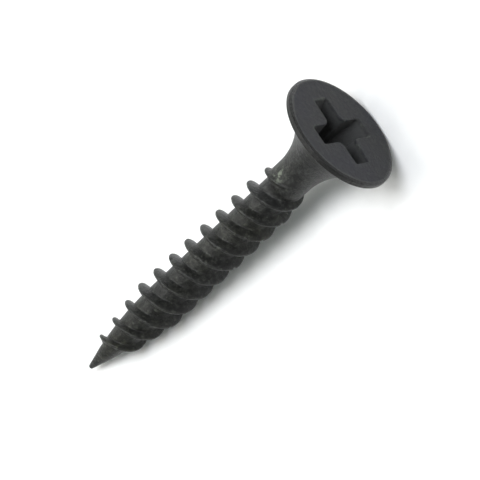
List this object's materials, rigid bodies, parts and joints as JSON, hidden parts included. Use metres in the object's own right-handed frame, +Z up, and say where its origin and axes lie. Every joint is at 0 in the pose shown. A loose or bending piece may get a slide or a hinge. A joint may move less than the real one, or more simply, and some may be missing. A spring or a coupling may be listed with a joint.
{
  "type": "bugle-head screw",
  "caption": "Black bugle-head screw with a cross recess, a fine twin-start thread and a needle point, for driving into wood or light steel.",
  "frame": {"origin": "middle of the footprint, on the surface the screw lies on", "axes": "+Z up from the surface; +X level, from the point towards the head; the screw's own axis rises 7.6 degrees from +X towards the head, because it lies on its rim and on one thread crest"},
  "size_m": [0.0254, 0.0082, 0.0083],
  "materials": {
    "black_phosphate": "matte black phosphate on steel, fine grained, slightly worn on the thread crests"
  },
  "bodies": {
    "root": {"bugle_head": "black_phosphate", "neck": "black_phosphate", "threaded_core": "black_phosphate", "needle_point": "black_phosphate", "thread_start_a": "black_phosphate", "thread_start_b": "black_phosphate"}
  },
  "joints": []
}
